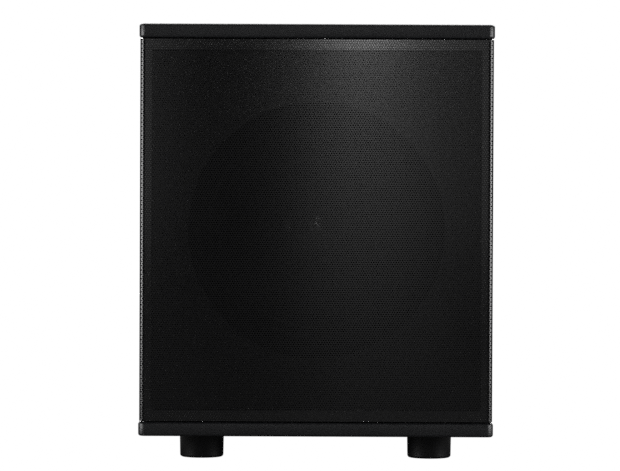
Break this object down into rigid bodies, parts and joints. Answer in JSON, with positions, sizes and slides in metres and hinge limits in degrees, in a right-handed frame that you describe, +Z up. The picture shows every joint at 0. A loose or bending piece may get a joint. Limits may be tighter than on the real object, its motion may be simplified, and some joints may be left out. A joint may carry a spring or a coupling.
{
  "type": "active subwoofer",
  "caption": "Floor-standing powered bass loudspeaker: box cabinet with overhanging top and bottom boards, wrap-round perforated grille, round rubber feet and rear amplifier module.",
  "frame": {"origin": "on the floor, under the middle of the whole bounding box", "axes": "+Z up, -Y out of the front grille, +X to the right of somebody in front of it"},
  "size_m": [0.356, 0.4, 0.437],
  "materials": {
    "painted_board": "fine textured black paint on MDF",
    "grille_coat": "satin black powder coat on perforated steel",
    "rubber": "moulded black rubber",
    "plywood": "raw MDF brace",
    "paper_pulp": "black coated paper pulp",
    "cast_alloy": "black painted die casting",
    "plated_steel": "zinc plated steel",
    "ferrite": "sintered ferrite",
    "former_film": "polyimide film former",
    "copper_wire": "enamelled copper winding",
    "spider_cloth": "impregnated corrugated cloth",
    "anodised": "black anodised aluminium",
    "circuit_board": "glass fibre circuit board",
    "black_plastic": "moulded black plastic",
    "nickel": "nickel plated metal",
    "winding_tape": "yellow polyester winding tape",
    "foam": "closed cell foam gasket",
    "lens": "tinted light pipe",
    "aluminium": "mill finish aluminium"
  },
  "bodies": {
    "cabinet": {"top_board": "painted_board", "bottom_board": "painted_board", "side_panel_left": "painted_board", "side_panel_right": "painted_board", "rear_panel": "painted_board", "front_baffle": "painted_board", "window_brace": "plywood", "grille_frame": "black_plastic", "perforated_grille": "grille_coat", "port_tube": "black_plastic", "driver_gasket": "foam", "driver_basket": "cast_alloy", "surround": "rubber", "spider": "spider_cloth", "top_plate": "plated_steel", "ferrite_magnet": "ferrite", "yoke": "plated_steel", "terminal_strip": "black_plastic", "driver_lead": "black_plastic", "amp_plate": "anodised", "amp_gasket": "foam", "heatsink": "anodised", "amp_tray": "plated_steel", "toroidal_transformer": "winding_tape", "transformer_clamp": "plated_steel", "transformer_bolt": "plated_steel", "amplifier_board": "circuit_board", "control_board": "circuit_board", "capacitor_1": "black_plastic", "capacitor_2": "black_plastic", "transistor_bar": "aluminium", "iec_inlet": "black_plastic", "power_switch_body": "black_plastic", "xlr_input_1": "black_plastic", "xlr_input_2": "black_plastic", "xlr_output_1": "black_plastic", "xlr_output_2": "black_plastic", "level_pot": "plated_steel", "crossover_pot": "plated_steel", "phase_switch_body": "plated_steel", "status_led": "lens", "foot_front_left": "rubber", "foot_screw_front_left": "plated_steel", "foot_front_right": "rubber", "foot_screw_front_right": "plated_steel", "foot_rear_left": "rubber", "foot_screw_rear_left": "plated_steel", "foot_rear_right": "rubber", "foot_screw_rear_right": "plated_steel"},
    "cone_assembly": {"cone": "paper_pulp", "dust_cap": "paper_pulp", "voice_coil_former": "former_film", "voice_coil": "copper_wire"},
    "level_knob": {"level_knob": "black_plastic"},
    "crossover_knob": {"crossover_knob": "black_plastic"},
    "power_rocker": {"power_rocker": "black_plastic"},
    "phase_slider": {"phase_slider": "black_plastic"},
    "fuse_drawer": {"fuse_drawer": "black_plastic"},
    "latch_tab_1": {"latch_tab_1": "nickel"},
    "latch_tab_2": {"latch_tab_2": "nickel"}
  },
  "joints": [
    {"name": "cone_stroke", "type": "slide", "parent": "cabinet", "child": "cone_assembly", "axis": [0, -1, 0], "range_m": [-0.008, 0.008], "stiffness_N_per_m": 2500, "deforming": ["surround", "spider"]},
    {"name": "level_turn", "type": "hinge", "parent": "cabinet", "child": "level_knob", "pos_m": [0.036, 0.18, 0.185], "axis": [0, 1, 0], "range_deg": [-150, 150]},
    {"name": "crossover_turn", "type": "hinge", "parent": "cabinet", "child": "crossover_knob", "pos_m": [-0.008, 0.18, 0.185], "axis": [0, 1, 0], "range_deg": [-150, 150]},
    {"name": "power_rock", "type": "hinge", "parent": "cabinet", "child": "power_rocker", "pos_m": [0.095, 0.1734, 0.147], "axis": [1, 0, 0], "range_deg": [0, 16]},
    {"name": "phase_slide", "type": "slide", "parent": "cabinet", "child": "phase_slider", "axis": [1, 0, 0], "range_m": [0, 0.004]},
    {"name": "fuse_drawer_slide", "type": "slide", "parent": "cabinet", "child": "fuse_drawer", "axis": [0, 1, 0], "range_m": [0, 0.014]},
    {"name": "latch_press_1", "type": "slide", "parent": "cabinet", "child": "latch_tab_1", "axis": [0, -1, 0], "range_m": [0, 0.0014], "stiffness_N_per_m": 400},
    {"name": "latch_press_2", "type": "slide", "parent": "cabinet", "child": "latch_tab_2", "axis": [0, -1, 0], "range_m": [0, 0.0014], "stiffness_N_per_m": 400}
  ]
}
